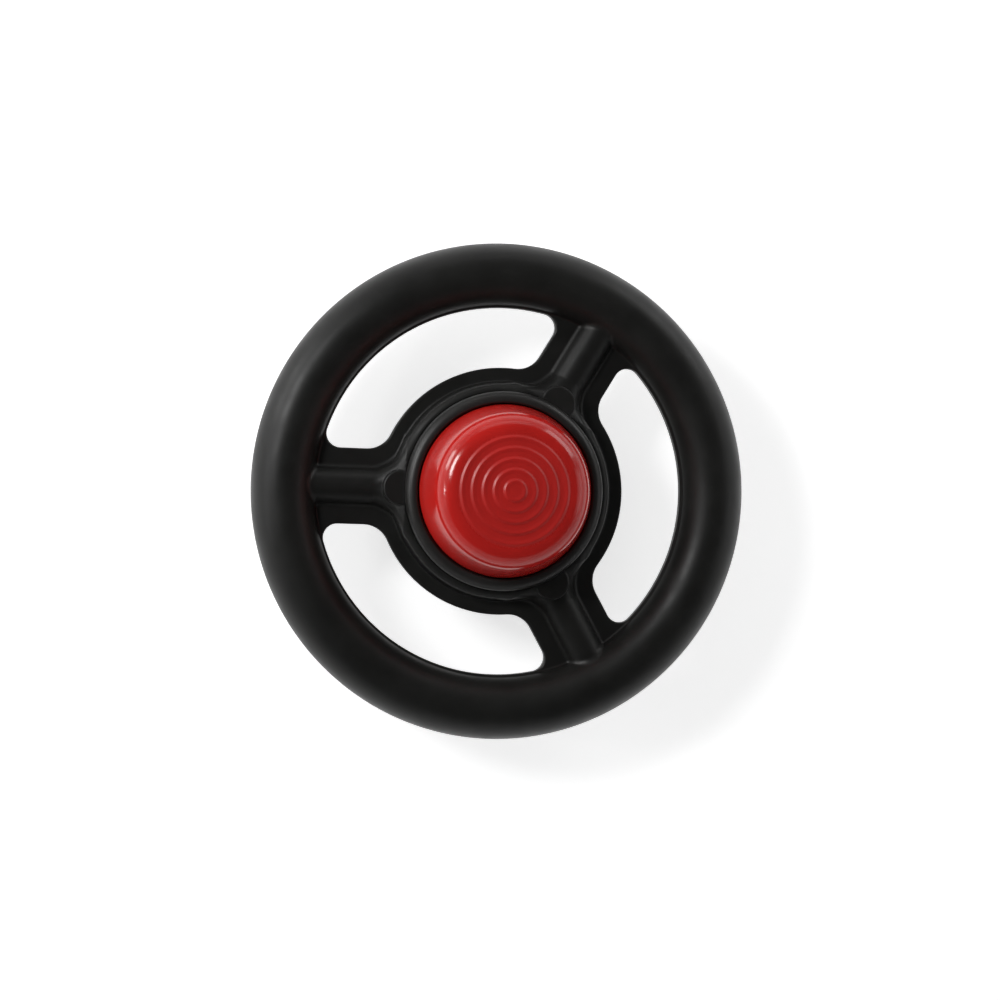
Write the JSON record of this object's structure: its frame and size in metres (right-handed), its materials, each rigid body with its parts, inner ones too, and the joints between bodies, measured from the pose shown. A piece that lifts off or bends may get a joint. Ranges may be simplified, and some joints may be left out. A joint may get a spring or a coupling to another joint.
{
  "type": "play steering wheel",
  "caption": "Three-spoke black play steering wheel with a domed red push button that sounds a squeaker horn, turning on a bolted pedestal base.",
  "frame": {"origin": "centre of the base plate's mounting face, on the wheel's turning axis", "axes": "+Z along the turning axis from the mounting face to the horn button; one spoke points 2 degrees from -X and the wheel's open sector faces +X; +Y is up as the wheel hangs on a wall"},
  "size_m": [0.3, 0.2999, 0.1131],
  "materials": {
    "base_plastic": "moulded black polypropylene, fine grain",
    "zinc_steel": "bright zinc plate",
    "bare_steel": "drawn steel, oiled",
    "white_nylon": "natural nylon",
    "blue_nylon": "blue nylon",
    "black_plastic": "moulded black polyethylene, satin",
    "plug_plastic": "black polyethylene plug",
    "collar_plastic": "black, semi-gloss",
    "red_plastic": "glossy red",
    "inner_plastic": "dark grey moulding",
    "foam_rubber": "closed-cell foam rubber",
    "spring_steel": "spring wire",
    "soft_rubber": "soft vinyl rubber",
    "reed_film": "thin polyester strip",
    "black_screw_steel": "black phosphated steel"
  },
  "bodies": {
    "base": {"base_plate": "base_plastic", "coach_bolt": "zinc_steel", "spacer_sleeve": "bare_steel", "lower_thrust_washer": "white_nylon", "upper_thrust_washer": "zinc_steel", "lock_nut": "zinc_steel", "lock_nut_ring": "blue_nylon"},
    "wheel": {"wheel_body": "black_plastic", "vent_plug": "plug_plastic", "bezel_ring": "collar_plastic", "bezel_screws": "black_screw_steel", "lower_bush": "white_nylon", "upper_bush": "white_nylon", "horn_tray": "inner_plastic", "tray_screws": "zinc_steel", "buffer_ring": "foam_rubber", "return_spring": "spring_steel", "squeaker_bellows": "soft_rubber", "reed_holder": "white_nylon", "reed_tongue": "reed_film"},
    "button": {"horn_button": "red_plastic", "button_retainer": "inner_plastic", "retainer_screws": "zinc_steel"}
  },
  "joints": [
    {"name": "wheel_spin", "type": "hinge", "parent": "base", "child": "wheel", "pos_m": [0, 0, 0.052], "axis": [0, 0, 1], "continuous": true},
    {"name": "horn_press", "type": "slide", "parent": "wheel", "child": "button", "axis": [0, 0, -1], "range_m": [0, 0.006], "stiffness_N_per_m": 600, "springref_m": -0.012, "deforming": ["return_spring", "squeaker_bellows"]}
  ]
}
